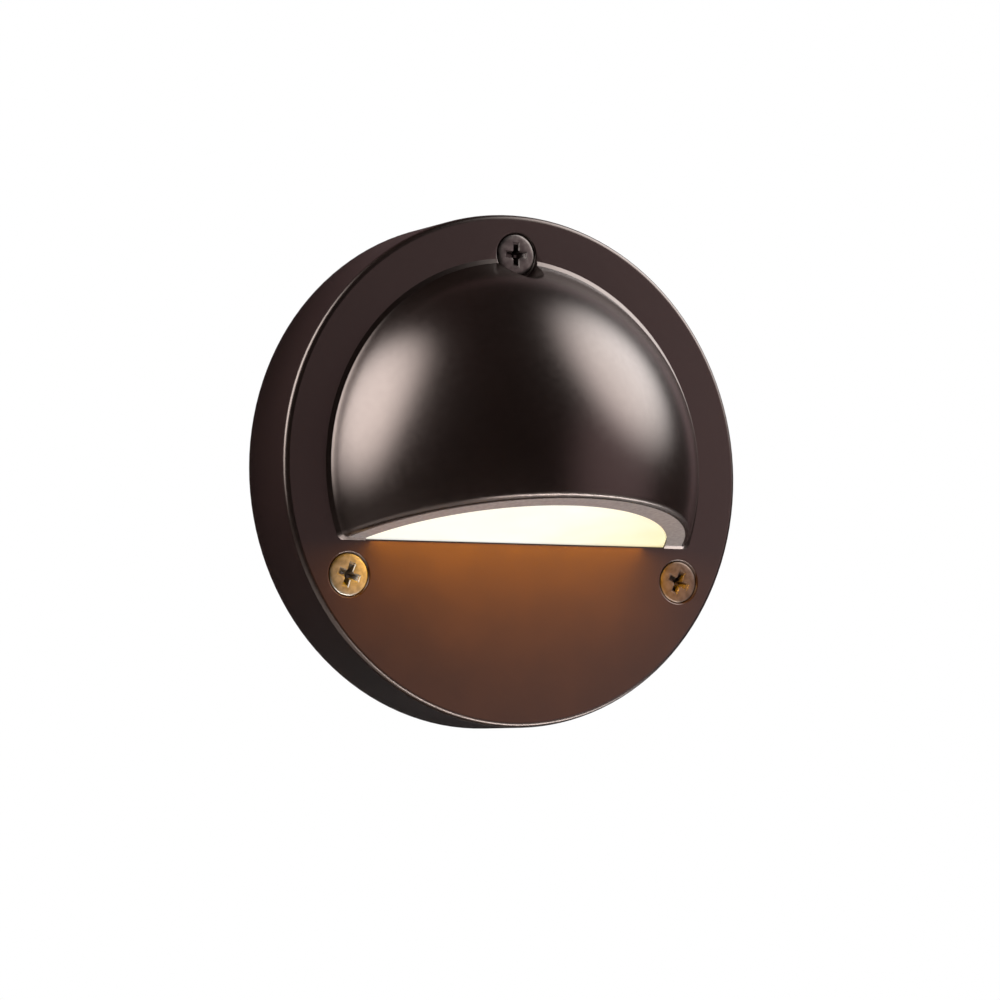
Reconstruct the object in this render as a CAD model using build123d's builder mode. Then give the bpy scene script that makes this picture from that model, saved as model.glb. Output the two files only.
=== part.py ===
"""Surface-mounted deck light: a round cast cup with a half-moon hood over an opal lens.

The deck face is the plane y = 0 and the light stands out of it towards -Y, with +Z up.
Heights are measured from the deck face towards the front, so a larger height is nearer the viewer.
"""

import math
import os

from build123d import *

os.makedirs("parts", exist_ok=True)

# Cup casting, in millimetres
plate_diameter = 80.0
rim_depth = 12.7
front_edge_radius = 0.9
front_wall = 2.6
side_wall = 3.6
rear_rim_wall = 2.0

# Hood on the front of the cup: part of a ball centred on the deck face, in millimetres and degrees
hood_edge_margin = 7.6
hood_wall = 3.8
hood_hollow_shift = 1.0
hood_flare_radius = 6.0
hood_flare_slope = 52.0
mouth_screw_clearance = 2.0
mouth_slope = 14.9
lip_edge_radius = 1.3
hood_root_chamfer = 0.45
hood_foot = 0.3

# Opal lens, its flange and what clamps it
window_undercut = 0.3
lens_clearance = 0.2
lens_recess = 0.1
lens_wall = 2.0
flange_thickness = 1.5
lens_gasket_thickness = 0.8
carrier_thickness = 1.5
land_width = 2.6

# Countersunk wood screws that hold the light to the deck, in millimetres and degrees
mounting_screw_count = 3
screw_edge_distance = 6.3
screw_length = 25.0
screw_head_diameter = 6.5
screw_head_rim = 0.15
screw_cone_angle = 82.0
screw_shank_diameter = 2.9
screw_thread_diameter = 3.5
screw_tip_length = 4.5
screw_hole_diameter = 4.2
countersink_diameter = 7.1
countersink_edge_radius = 0.25
screw_seat_gap = 0.1
recess_span = 3.7
recess_width = 0.95
recess_depth = 1.5
recess_taper = 12.0
recess_turns = (0.0, -20.0, -26.0)
post_wall = 1.1
spot_face_margin = 0.25
spot_face_draft = 6.0

# Small machine screws inside the cup, as diameters, with their heads and lengths
small_screw_diameter = 2.4
small_head_diameter = 4.4
small_head_height = 1.4
pan_head_crown = 0.5
flush_head_diameter = 4.7
flush_cone_angle = 90.0
board_screw_diameter = 2.0
board_head_diameter = 3.8
board_head_height = 1.2
carrier_screw_length = 5.0
back_screw_length = 6.0
led_screw_length = 3.5
driver_screw_length = 3.6
blind_hole_spare = 0.3
boss_diameter = 4.4
small_screw_wall_distance = 2.6
back_screw_angle = 15.0
carrier_screw_angle = 40.0
ear_margin = 0.3

# LED board on its carrier
thermal_pad_thickness = 0.5
thermal_pad_inset = 1.0
led_board_thickness = 1.0
led_board_clearance = 1.0
led_width = 3.5
led_length = 2.8
led_height = 0.7
led_columns = 3
led_rows = 2
led_pitch_across = 12.0
led_pitch_up = 9.0
led_center_height = 4.0
led_screw_edge_distance = 4.4

# Driver board in the lower part of the cup
driver_board_thickness = 1.2
driver_boss_height = 1.1
driver_screw_inset = 2.6
board_corner_radius = 1.0
inductor_diameter = 5.0
inductor_base_side = 5.4
inductor_base_height = 0.6
inductor_height = 3.0
rectifier_width = 4.7
rectifier_length = 3.9
rectifier_height = 2.5
rectifier_offset = 7.6
capacitor_width = 3.2
capacitor_length = 2.5
capacitor_height = 2.2
capacitor_offset = 7.0
capacitor_pitch = 4.6
chip_width = 1.6
chip_length = 2.9
chip_height = 1.1
chip_offset = 10.9

# Wires that link the two boards
wire_diameter = 1.2
wire_spacing = 8.0
wire_bend_radius = 1.6
wire_pad_inset = 2.0
wire_gap_behind_carrier = 0.8
wire_stub = 0.3

# Back of the cup
back_plate_thickness = 1.5
back_seal_thickness = 0.6
back_seal_overhang = 0.8
foam_thickness = 1.5
foam_width = 8.7

# Rubber grommet for the supply cable
grommet_bore_diameter = 5.0
grommet_neck_diameter = 7.8
grommet_flange_diameter = 11.0
grommet_flange_thickness = 1.2

# Fits
fit_clearance = 0.3
thread_clearance = 0.05
pilot_clearance = 0.15
board_clearance = 0.6
touch = 0.01

# Radii and places that follow from the sizes above
plate_radius = plate_diameter / 2
cup_radius = plate_radius - side_wall
seat_radius = plate_radius - rear_rim_wall
hood_root = plate_radius - hood_edge_margin
hood_radius = math.hypot(hood_root, rim_depth)
hood_inside = hood_radius - hood_wall + hood_hollow_shift
mouth_tilt = math.radians(mouth_slope)

# The mouth stays clear of the lower screws' countersinks
screw_circle = plate_radius - screw_edge_distance
lower_screw_drop = screw_circle * math.sin(math.radians(360 / mounting_screw_count - 90))
mouth_drop = lower_screw_drop - countersink_diameter / 2 - mouth_screw_clearance

window_radius = math.sqrt(hood_inside**2 - (rim_depth + hood_hollow_shift) ** 2) + window_undercut
lens_drop = mouth_drop - lens_recess
window_drop = lens_drop + lens_clearance
lens_bore = window_radius - lens_clearance
lens_ball = hood_inside - lens_clearance
lens_inner_drop = lens_drop - lens_wall / math.cos(mouth_tilt)

screw_hole_radius = screw_hole_diameter / 2
post_radius = screw_hole_radius + post_wall
spot_face_radius = countersink_diameter / 2 + spot_face_margin

boss_radius = boss_diameter / 2
boss_circle = cup_radius - small_screw_wall_distance
land_radius = boss_circle - boss_radius - fit_clearance
land_drop = window_drop + land_width
carrier_foot_drop = land_drop + fit_clearance + boss_radius
ear_width = boss_diameter + 2 * ear_margin

# Heights of the stack behind the front wall
front_inside = rim_depth - front_wall
lens_gasket_back = front_inside - lens_gasket_thickness
flange_back = lens_gasket_back - flange_thickness
carrier_back = flange_back - carrier_thickness
thermal_pad_front = flange_back + thermal_pad_thickness
led_board_front = thermal_pad_front + led_board_thickness

# Heights of the stack on the deck
back_plate_front = foam_thickness + back_plate_thickness
ledge_height = back_plate_front + back_seal_thickness

# LED board outline, its screws and the wire ends
led_board_radius = lens_bore - lens_wall - led_board_clearance
led_board_drop = lens_inner_drop - board_clearance
led_board_reach = math.sqrt(led_board_radius**2 - led_center_height**2)
led_screw_reach = led_board_reach - led_screw_edge_distance
wire_radius = wire_diameter / 2
wire_hole_radius = wire_radius + fit_clearance
wire_top_drop = led_board_drop - wire_pad_inset
wire_height = carrier_back - wire_gap_behind_carrier - wire_radius

# Driver board outline: it fills the space between the carrier's foot and the lowest back screw
driver_front = front_inside - driver_boss_height
driver_back = driver_front - driver_board_thickness
driver_top_drop = carrier_foot_drop + ear_width / 2 + board_clearance
driver_bottom_drop = boss_circle - boss_radius - board_clearance
driver_length = driver_bottom_drop - driver_top_drop
driver_middle_drop = (driver_top_drop + driver_bottom_drop) / 2
driver_width = 2 * math.sqrt((cup_radius - board_clearance) ** 2 - driver_bottom_drop**2)
wire_bottom_drop = driver_top_drop + wire_pad_inset

# Sketch plane on the deck face: its normal points to the front
deck = Plane.XZ


def on_circle(radius, angle):
    """Place on a circle round the light's axis, as sketch coordinates."""
    turn = math.radians(angle)
    return (radius * math.cos(turn), radius * math.sin(turn))


mounting_places = [
    on_circle(screw_circle, 90 + i * 360 / mounting_screw_count) for i in range(mounting_screw_count)
]
back_screw_places = [
    on_circle(boss_circle, back_screw_angle),
    on_circle(boss_circle, 180 - back_screw_angle),
    on_circle(boss_circle, 270),
]
carrier_screw_places = [
    on_circle(boss_circle, carrier_screw_angle),
    on_circle(boss_circle, 180 - carrier_screw_angle),
    (0, -carrier_foot_drop),
]
led_screw_places = [(side * led_screw_reach, led_center_height) for side in (-1, 1)]
driver_screw_places = [
    (side * (driver_width / 2 - driver_screw_inset), -driver_middle_drop) for side in (-1, 1)
]
wire_top_places = [(side * wire_spacing / 2, -wire_top_drop) for side in (-1, 1)]


def save(piece, name):
    """Label a finished piece and write it under its name."""
    piece.label = name
    export_step(piece, f"parts/{name}.step")


def mouth_plane(drop):
    """Plane along the hood's mouth, which crosses the front face this far below the axis."""
    return Plane(
        origin=(0, -rim_depth, -drop),
        x_dir=(1, 0, 0),
        z_dir=(0, math.sin(mouth_tilt), math.cos(mouth_tilt)),
    )


def ball_segment(ball_radius, bore_radius, drop, back):
    """What a bore from height back keeps of the hollow's ball, above a mouth plane."""
    with BuildPart() as segment:
        with BuildSketch(deck.offset(back)):
            Circle(bore_radius)
        extrude(amount=ball_radius)
        with Locations((0, hood_hollow_shift, 0)):
            Sphere(ball_radius, mode=Mode.INTERSECT)
        split(bisect_by=mouth_plane(drop), keep=Keep.TOP)
    return segment.part


def half_moon(radius, drop):
    """Draw a disc that is cut straight below the axis."""
    Circle(radius)
    with Locations((0, -drop - radius)):
        Rectangle(2 * radius, 2 * radius, mode=Mode.SUBTRACT)


def clear_posts(margin):
    """Cut room for the three screw posts out of the outline being drawn."""
    with Locations(*mounting_places):
        Circle(post_radius + margin, mode=Mode.SUBTRACT)


def turned_screws(places, profile):
    """A group of equal screws, each turned from a half profile of (radius, height) points."""
    with BuildPart() as turned:
        with BuildSketch(Plane.XY):
            with BuildLine():
                Polyline(*[(radius, -height) for radius, height in profile], close=True)
            make_face()
        revolve(axis=Axis.Y)
    with BuildPart() as group:
        with Locations(*[(x, 0, z) for x, z in places]):
            add(turned.part)
    return group.part


def pan_screws(places, seat, length, diameter, head_diameter, head_height):
    """Pan-head screws whose heads sit on height seat: a negative length points to the deck."""
    rise = math.copysign(head_height, length)
    crown = math.copysign(pan_head_crown, length)
    return turned_screws(
        places,
        [
            (0, seat - rise),
            (head_diameter / 2 - pan_head_crown, seat - rise),
            (head_diameter / 2, seat - rise + crown),
            (head_diameter / 2, seat),
            (diameter / 2, seat),
            (diameter / 2, seat + length),
            (0, seat + length),
        ],
    )


# Cup casting with its hood
hood_inner_ball = ball_segment(hood_inside, hood_inside, mouth_drop + 2 * hood_root_chamfer, rim_depth)
window_cut = ball_segment(hood_inside, window_radius, window_drop, flange_back)

# The ball runs into a concave flare, which meets the plate at a slope and goes on straight inside the front wall
flare_end = math.radians(90 - hood_flare_slope)
flare_center_height = rim_depth + hood_flare_radius * math.sin(flare_end)
flare_start = math.asin(flare_center_height / (hood_radius + hood_flare_radius))
flare_center = (hood_radius + hood_flare_radius) * math.cos(flare_start)
flare_middle = (flare_start + flare_end) / 2
flare_profile = [
    (
        flare_center - hood_flare_radius * math.cos(angle),
        -flare_center_height + hood_flare_radius * math.sin(angle),
    )
    for angle in (flare_start, flare_middle, flare_end)
]
foot_reach = flare_profile[-1][0] + rim_depth / math.tan(math.radians(hood_flare_slope))
ball_middle = (flare_start + math.pi / 2) / 2

with BuildPart() as hood_ball:
    with BuildSketch(Plane.XY):
        with BuildLine():
            ThreePointArc(
                (0, -hood_radius),
                (hood_radius * math.cos(ball_middle), -hood_radius * math.sin(ball_middle)),
                flare_profile[0],
            )
            ThreePointArc(*flare_profile)
            Polyline(flare_profile[-1], (foot_reach, 0), (0, 0), (0, -hood_radius))
        make_face()
    revolve(axis=Axis.Y)
    split(bisect_by=mouth_plane(mouth_drop), keep=Keep.TOP)
    mouth_face = hood_ball.faces().filter_by(GeomType.PLANE).sort_by(Axis.Z)[0]
    lip_edges = [e for e in mouth_face.edges() if e.geom_type != GeomType.LINE]
    fillet(lip_edges, radius=lip_edge_radius)
    split(bisect_by=deck.offset(front_inside), keep=Keep.TOP)

with BuildPart() as housing:
    with BuildSketch(deck):
        Circle(plate_radius)
    extrude(amount=rim_depth)
    fillet(housing.edges().sort_by(Axis.Y)[0], radius=front_edge_radius)
    add(hood_ball.part)
    front_edges = housing.edges().filter_by_position(Axis.Y, -rim_depth - touch, -rim_depth + touch)
    root_edges = front_edges.sort_by(SortBy.LENGTH)[:-1]
    chamfer(root_edges, length=hood_root_chamfer)
    add(hood_inner_ball, mode=Mode.SUBTRACT)

    # The hood's two ends stop in a short foot just below the mouth
    with BuildSketch(deck.offset(rim_depth)):
        with Locations((0, -mouth_drop - hood_foot - plate_radius)):
            Rectangle(2 * plate_radius, 2 * plate_radius)
    extrude(amount=hood_root_chamfer, mode=Mode.SUBTRACT)

    # Hollow of the cup, with a step at the back for the back plate and its seal
    with BuildSketch(deck):
        Circle(cup_radius)
    extrude(amount=front_inside, mode=Mode.SUBTRACT)
    with BuildSketch(deck):
        Circle(seat_radius)
    extrude(amount=ledge_height, mode=Mode.SUBTRACT)

    # Posts and bosses that grow out of the front wall
    with BuildSketch(deck.offset(ledge_height)):
        with Locations(*mounting_places):
            Circle(post_radius)
        with Locations(*back_screw_places):
            Circle(boss_radius)
    extrude(amount=front_inside - ledge_height)
    with BuildSketch(deck.offset(flange_back)):
        with Locations(*carrier_screw_places):
            Circle(boss_radius)
    extrude(amount=front_inside - flange_back)
    with BuildSketch(deck.offset(driver_front)):
        with Locations(*driver_screw_places):
            Circle(boss_radius)
    extrude(amount=front_inside - driver_front)

    # Window behind the hood, and the spot face that lets the top screw reach its seat
    add(window_cut, mode=Mode.SUBTRACT)
    with BuildSketch(deck.offset(rim_depth)):
        with Locations(mounting_places[0]):
            Circle(spot_face_radius)
    extrude(amount=hood_radius, taper=-spot_face_draft, mode=Mode.SUBTRACT)

    # Countersunk holes through the posts
    with Locations(deck.offset(rim_depth)):
        with Locations(*mounting_places):
            CounterSinkHole(
                screw_hole_radius,
                countersink_diameter / 2,
                depth=rim_depth,
                counter_sink_angle=screw_cone_angle,
            )
    front_edges = housing.edges().filter_by_position(Axis.Y, -rim_depth - touch, -rim_depth + touch)
    front_circles = front_edges.filter_by(GeomType.CIRCLE)
    countersink_edges = [e for e in front_circles if abs(e.radius - countersink_diameter / 2) < touch]
    fillet(countersink_edges, radius=countersink_edge_radius)

    # Blind holes for the small screws
    small_hole_radius = small_screw_diameter / 2 + thread_clearance
    with BuildSketch(deck.offset(ledge_height)):
        with Locations(*back_screw_places):
            Circle(small_hole_radius)
    back_hole_end = foam_thickness + back_screw_length + blind_hole_spare
    extrude(amount=back_hole_end - ledge_height, mode=Mode.SUBTRACT)
    with BuildSketch(deck.offset(flange_back)):
        with Locations(*carrier_screw_places):
            Circle(small_hole_radius)
    carrier_hole_end = carrier_back + carrier_screw_length + blind_hole_spare
    extrude(amount=carrier_hole_end - flange_back, mode=Mode.SUBTRACT)
    with BuildSketch(deck.offset(driver_front)):
        with Locations(*driver_screw_places):
            Circle(board_screw_diameter / 2 + thread_clearance)
    driver_hole_end = driver_back + driver_screw_length + blind_hole_spare
    extrude(amount=driver_hole_end - driver_front, mode=Mode.SUBTRACT)
save(housing.part, "housing")

# Opal lens: a thin half-moon bowl with a flange behind the front wall
lens_outside = ball_segment(lens_ball, lens_bore, lens_drop, flange_back)
lens_inside = ball_segment(
    lens_ball - lens_wall, lens_bore - lens_wall, lens_inner_drop, flange_back - lens_wall
)

with BuildPart() as lens:
    with BuildSketch(deck.offset(flange_back)):
        half_moon(land_radius, land_drop)
        clear_posts(fit_clearance)
    extrude(amount=flange_thickness)
    add(lens_outside)
    add(lens_inside, mode=Mode.SUBTRACT)
save(lens.part, "lens")

# Rubber gasket between the lens flange and the front wall
with BuildPart() as lens_gasket:
    with BuildSketch(deck.offset(lens_gasket_back)):
        half_moon(land_radius, land_drop)
        clear_posts(fit_clearance)
    extrude(amount=lens_gasket_thickness)
    add(window_cut, mode=Mode.SUBTRACT)
save(lens_gasket.part, "lens_gasket")

# Aluminium carrier that clamps the lens and takes the heat of the LED board
with BuildPart() as led_carrier:
    with BuildSketch(deck.offset(carrier_back)):
        half_moon(land_radius, land_drop)
        for x, z in carrier_screw_places[:2]:
            with Locations(Location((x, z, 0), (0, 0, math.degrees(math.atan2(z, x))))):
                with Locations((-ear_width / 2, 0)):
                    SlotCenterToCenter(ear_width, ear_width)
        with Locations((0, -carrier_foot_drop + ear_width / 2)):
            SlotCenterToCenter(ear_width, ear_width, rotation=90)
        Circle(cup_radius - fit_clearance, mode=Mode.INTERSECT)
        clear_posts(fit_clearance)
        with Locations(*carrier_screw_places):
            Circle(small_screw_diameter / 2 + pilot_clearance, mode=Mode.SUBTRACT)
        with Locations(*led_screw_places):
            Circle(board_screw_diameter / 2 + thread_clearance, mode=Mode.SUBTRACT)
        with Locations(*wire_top_places):
            Circle(wire_hole_radius, mode=Mode.SUBTRACT)
    extrude(amount=carrier_thickness)
save(led_carrier.part, "led_carrier")

# Thermal pad and LED board, both half-moons inside the lens
with BuildPart() as thermal_pad:
    with BuildSketch(deck.offset(flange_back)):
        half_moon(led_board_radius - thermal_pad_inset, led_board_drop - thermal_pad_inset)
        with Locations(*led_screw_places):
            Circle(board_screw_diameter / 2 + fit_clearance, mode=Mode.SUBTRACT)
        with Locations(*wire_top_places):
            Circle(wire_hole_radius, mode=Mode.SUBTRACT)
    extrude(amount=thermal_pad_thickness)
save(thermal_pad.part, "thermal_pad")

with BuildPart() as led_board:
    with BuildSketch(deck.offset(thermal_pad_front)) as led_board_outline:
        half_moon(led_board_radius, led_board_drop)
        fillet(led_board_outline.vertices(), radius=board_corner_radius)
        with Locations(*led_screw_places):
            Circle(board_screw_diameter / 2 + pilot_clearance, mode=Mode.SUBTRACT)
        with Locations(*wire_top_places):
            Circle(wire_hole_radius, mode=Mode.SUBTRACT)
    extrude(amount=led_board_thickness)
save(led_board.part, "led_board")

with BuildPart() as leds:
    with BuildSketch(deck.offset(led_board_front)):
        with Locations((0, led_center_height)):
            with GridLocations(led_pitch_across, led_pitch_up, led_columns, led_rows):
                Rectangle(led_width, led_length)
    extrude(amount=led_height)
save(leds.part, "leds")

# Driver board on two low bosses, with its parts on the back
with BuildPart() as driver_board:
    with BuildSketch(deck.offset(driver_back)):
        with Locations((0, -driver_middle_drop)):
            RectangleRounded(driver_width, driver_length, board_corner_radius)
        with Locations(*driver_screw_places):
            Circle(board_screw_diameter / 2 + pilot_clearance, mode=Mode.SUBTRACT)
    extrude(amount=driver_board_thickness)
save(driver_board.part, "driver_board")

with BuildPart() as inductor:
    with BuildSketch(deck.offset(driver_back)):
        with Locations((0, -driver_middle_drop)):
            RectangleRounded(inductor_base_side, inductor_base_side, board_corner_radius)
    extrude(amount=-inductor_base_height)
    with BuildSketch(deck.offset(driver_back - inductor_base_height)):
        with Locations((0, -driver_middle_drop)):
            Circle(inductor_diameter / 2)
    extrude(amount=inductor_base_height - inductor_height)
save(inductor.part, "inductor")

with BuildPart() as rectifier:
    with BuildSketch(deck.offset(driver_back)):
        with Locations((-rectifier_offset, -driver_middle_drop)):
            Rectangle(rectifier_width, rectifier_length)
    extrude(amount=-rectifier_height)
save(rectifier.part, "rectifier")

with BuildPart() as capacitors:
    with BuildSketch(deck.offset(driver_back)):
        with Locations((capacitor_offset, -driver_middle_drop)):
            with GridLocations(capacitor_width, capacitor_pitch, 1, 2):
                Rectangle(capacitor_width, capacitor_length)
    extrude(amount=-capacitor_height)
save(capacitors.part, "capacitors")

with BuildPart() as driver_chip:
    with BuildSketch(deck.offset(driver_back)):
        with Locations((chip_offset, -driver_middle_drop)):
            Rectangle(chip_width, chip_length)
    extrude(amount=-chip_height)
save(driver_chip.part, "driver_chip")

# Two wires from the LED board, through the carrier and down its back to the driver board
for (wire_x, _), wire_name in zip(wire_top_places, ("black_link_wire", "red_link_wire")):
    with BuildPart() as link_wire:
        with BuildLine():
            FilletPolyline(
                (wire_x, -led_board_front - wire_stub, -wire_top_drop),
                (wire_x, -wire_height, -wire_top_drop),
                (wire_x, -wire_height, -wire_bottom_drop),
                (wire_x, -driver_back, -wire_bottom_drop),
                radius=wire_bend_radius,
            )
        with BuildSketch(deck.offset(led_board_front + wire_stub)):
            with Locations((wire_x, -wire_top_drop)):
                Circle(wire_radius)
        sweep()
    save(link_wire.part, wire_name)

# Back plate on its seal, with the foam that meets the deck
with BuildPart() as back_seal:
    with BuildSketch(deck.offset(back_plate_front)):
        Circle(seat_radius - fit_clearance)
        Circle(cup_radius - back_seal_overhang, mode=Mode.SUBTRACT)
        with Locations(*mounting_places):
            Circle(post_radius)
        with Locations(*back_screw_places):
            Circle(boss_radius)
        with Locations(*mounting_places):
            Circle(screw_hole_radius + pilot_clearance, mode=Mode.SUBTRACT)
        with Locations(*back_screw_places):
            Circle(small_screw_diameter / 2 + pilot_clearance, mode=Mode.SUBTRACT)
    extrude(amount=back_seal_thickness)
save(back_seal.part, "back_seal")

with BuildPart() as back_plate:
    with BuildSketch(deck.offset(foam_thickness)):
        Circle(seat_radius - fit_clearance)
        Circle(grommet_neck_diameter / 2 + thread_clearance, mode=Mode.SUBTRACT)
        with Locations(*mounting_places):
            Circle(screw_hole_radius + pilot_clearance, mode=Mode.SUBTRACT)
    extrude(amount=back_plate_thickness)
    with Locations(Plane(origin=(0, -foam_thickness, 0), x_dir=(1, 0, 0), z_dir=(0, 1, 0))):
        with Locations(*[(x, -z) for x, z in back_screw_places]):
            CounterSinkHole(
                small_screw_diameter / 2 + pilot_clearance,
                flush_head_diameter / 2 + pilot_clearance,
                depth=back_plate_thickness,
                counter_sink_angle=flush_cone_angle,
            )
save(back_plate.part, "back_plate")

with BuildPart() as mounting_gasket:
    with BuildSketch(deck):
        Circle(seat_radius - fit_clearance)
        Circle(seat_radius - fit_clearance - foam_width, mode=Mode.SUBTRACT)
        with Locations(*mounting_places):
            Circle(screw_hole_radius + fit_clearance, mode=Mode.SUBTRACT)
    extrude(amount=foam_thickness)
save(mounting_gasket.part, "mounting_gasket")

# Grommet in the middle of the back plate, open for the supply cable
with BuildPart() as cable_grommet:
    with BuildSketch(deck.offset(foam_thickness - grommet_flange_thickness)):
        Circle(grommet_flange_diameter / 2)
    extrude(amount=grommet_flange_thickness)
    with BuildSketch(deck.offset(foam_thickness)):
        Circle(grommet_neck_diameter / 2)
    extrude(amount=back_plate_thickness)
    with BuildSketch(deck.offset(back_plate_front)):
        Circle(grommet_flange_diameter / 2)
    extrude(amount=grommet_flange_thickness)
    with BuildSketch(deck):
        Circle(grommet_bore_diameter / 2)
    extrude(amount=front_inside, mode=Mode.SUBTRACT)
save(cable_grommet.part, "cable_grommet")

# Small screws: pan heads inside the cup, flush heads in the back plate
carrier_screws = pan_screws(
    carrier_screw_places,
    carrier_back,
    carrier_screw_length,
    small_screw_diameter,
    small_head_diameter,
    small_head_height,
)
save(carrier_screws, "carrier_screws")

led_board_screws = pan_screws(
    led_screw_places,
    led_board_front,
    -led_screw_length,
    board_screw_diameter,
    board_head_diameter,
    board_head_height,
)
save(led_board_screws, "led_board_screws")

driver_board_screws = pan_screws(
    driver_screw_places,
    driver_back,
    driver_screw_length,
    board_screw_diameter,
    board_head_diameter,
    board_head_height,
)
save(driver_board_screws, "driver_board_screws")

flush_cone_spread = (flush_head_diameter - small_screw_diameter) / 2
flush_cone_height = flush_cone_spread / math.tan(math.radians(flush_cone_angle / 2))
back_plate_screws = turned_screws(
    back_screw_places,
    [
        (0, foam_thickness),
        (flush_head_diameter / 2, foam_thickness),
        (small_screw_diameter / 2, foam_thickness + flush_cone_height),
        (small_screw_diameter / 2, foam_thickness + back_screw_length),
        (0, foam_thickness + back_screw_length),
    ],
)
save(back_plate_screws, "back_plate_screws")

# Wood screws: the plain shank stays in the post, and the thread starts at the deck face
cone_half_angle = math.radians(screw_cone_angle / 2)
rim_overlap = (countersink_diameter - screw_head_diameter) / 2 - screw_seat_gap / math.cos(cone_half_angle)
head_cone_top = rim_depth - rim_overlap / math.tan(cone_half_angle)
head_cone_length = (screw_head_diameter - screw_shank_diameter) / 2 / math.tan(cone_half_angle)
head_top = head_cone_top + screw_head_rim
screw_tip = head_top - screw_length
wood_screw_profile = [
    (0, head_top),
    (screw_head_diameter / 2, head_top),
    (screw_head_diameter / 2, head_cone_top),
    (screw_shank_diameter / 2, head_cone_top - head_cone_length),
    (screw_shank_diameter / 2, 0),
    (screw_thread_diameter / 2, 0),
    (screw_thread_diameter / 2, screw_tip + screw_tip_length),
    (0, screw_tip),
]

screw_names = ("top_screw", "left_screw", "right_screw")
for place, turn, screw_name in zip(mounting_places, recess_turns, screw_names):
    turned_screw = turned_screws([place], wood_screw_profile)
    with BuildPart() as mounting_screw:
        add(turned_screw)
        with BuildSketch(deck.offset(head_top)):
            with Locations(place):
                Rectangle(recess_span, recess_width, rotation=turn)
                Rectangle(recess_width, recess_span, rotation=turn)
        extrude(amount=-recess_depth, taper=recess_taper, mode=Mode.SUBTRACT)
    save(mounting_screw.part, screw_name)
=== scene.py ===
# %% [markdown]
# # A bronze deck light
#
# A deck light is screwed to a post or a stair riser and throws its light down. The model comes from CAD,
# in metres, with the deck face on the plane y = 0 and the light facing -Y. This lesson gives each piece
# its finish, models what CAD leaves plain, such as screw threads, and sets up the camera and the studio.

# %% Load the frame
import math

import bpy
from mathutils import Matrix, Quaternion, Vector


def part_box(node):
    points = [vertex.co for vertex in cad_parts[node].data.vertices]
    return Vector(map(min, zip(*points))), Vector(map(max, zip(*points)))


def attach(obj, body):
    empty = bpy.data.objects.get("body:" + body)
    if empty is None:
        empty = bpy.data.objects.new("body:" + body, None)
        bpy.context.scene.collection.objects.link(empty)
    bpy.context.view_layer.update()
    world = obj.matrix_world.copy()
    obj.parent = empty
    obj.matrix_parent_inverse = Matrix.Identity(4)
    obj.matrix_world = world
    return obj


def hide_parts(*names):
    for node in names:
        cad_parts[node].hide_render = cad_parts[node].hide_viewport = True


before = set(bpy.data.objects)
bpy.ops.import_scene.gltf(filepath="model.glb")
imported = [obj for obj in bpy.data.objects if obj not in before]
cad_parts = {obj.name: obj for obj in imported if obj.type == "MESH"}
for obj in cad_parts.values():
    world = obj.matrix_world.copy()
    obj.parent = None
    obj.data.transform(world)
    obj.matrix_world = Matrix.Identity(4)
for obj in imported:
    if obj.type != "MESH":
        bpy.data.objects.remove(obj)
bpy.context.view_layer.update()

mm = 0.001

# %% [markdown]
# ## The camera
#
# A photo fixes where its camera stood. The round rim, the three screws and the lip of the hood were
# matched to circles of known size, and that gave the angle, the distance and the focal length. The camera
# stands to the left and a little below the light, so the lens shows in the hood's mouth. The shift moves
# the picture on the film, as a view camera does, and leaves the perspective alone.

# %% Place the camera
camera_azimuth = math.radians(-28.624)
camera_elevation = math.radians(-4.347)
camera_roll = math.radians(-0.203)
camera_distance = 0.6
camera_target = Vector((0, -0.006, 0))
focal_pixels = 3821.42
picture_pixels = 1000
target_pixel_x = 496.63
target_pixel_y = 473.02
sensor_width = 36

towards_camera = Vector((
    math.sin(camera_azimuth) * math.cos(camera_elevation),
    -math.cos(camera_azimuth) * math.cos(camera_elevation),
    math.sin(camera_elevation),
))
bpy.ops.object.camera_add(location=camera_target + camera_distance * towards_camera)
camera = bpy.context.object
camera.name = "photo_camera"
camera.rotation_mode = "QUATERNION"
camera.rotation_quaternion = towards_camera.to_track_quat("Z", "Y") @ Quaternion((0, 0, 1), camera_roll)
camera.data.sensor_width = sensor_width
camera.data.lens = focal_pixels / picture_pixels * sensor_width
camera.data.shift_x = 0.5 - target_pixel_x / picture_pixels
camera.data.shift_y = target_pixel_y / picture_pixels - 0.5
bpy.context.scene.camera = camera
print("camera at", tuple(round(x, 4) for x in camera.location), "lens", round(camera.data.lens, 1), "mm")

# %% [markdown]
# ## Tools for the finishes
#
# Every finish here is made of the same few steps: take the place of a point on the piece in metres, read
# a noise there, and turn the noise into colour, gloss and a fine bump. Reading metres keeps the grain at
# its real size.


# %% Start a material and find the place on a piece
def start_material(name):
    """A new material: its nodes, its links and its main shader."""
    material = bpy.data.materials.new(name)
    material.use_nodes = True
    tree = material.node_tree
    return material, tree.nodes, tree.links, tree.nodes["Principled BSDF"]


def place_on_piece(nodes, links, center=(0, 0, 0), stretch=(1, 1, 1)):
    """Object coordinates in metres, measured from a centre and stretched along an axis."""
    where = nodes.new("ShaderNodeTexCoord")
    mapping = nodes.new("ShaderNodeMapping")
    mapping.inputs["Scale"].default_value = stretch
    mapping.inputs["Location"].default_value = [-c * s for c, s in zip(center, stretch)]
    links.new(where.outputs["Object"], mapping.inputs["Vector"])
    return mapping.outputs["Vector"]


# %% Turn a noise into colours and numbers
def noise(nodes, links, where, size, detail=3.0):
    """A soft noise whose blotches are about this many metres across."""
    texture = nodes.new("ShaderNodeTexNoise")
    texture.inputs["Scale"].default_value = 1 / size
    texture.inputs["Detail"].default_value = detail
    links.new(where, texture.inputs["Vector"])
    return texture.outputs["Fac"]


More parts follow.
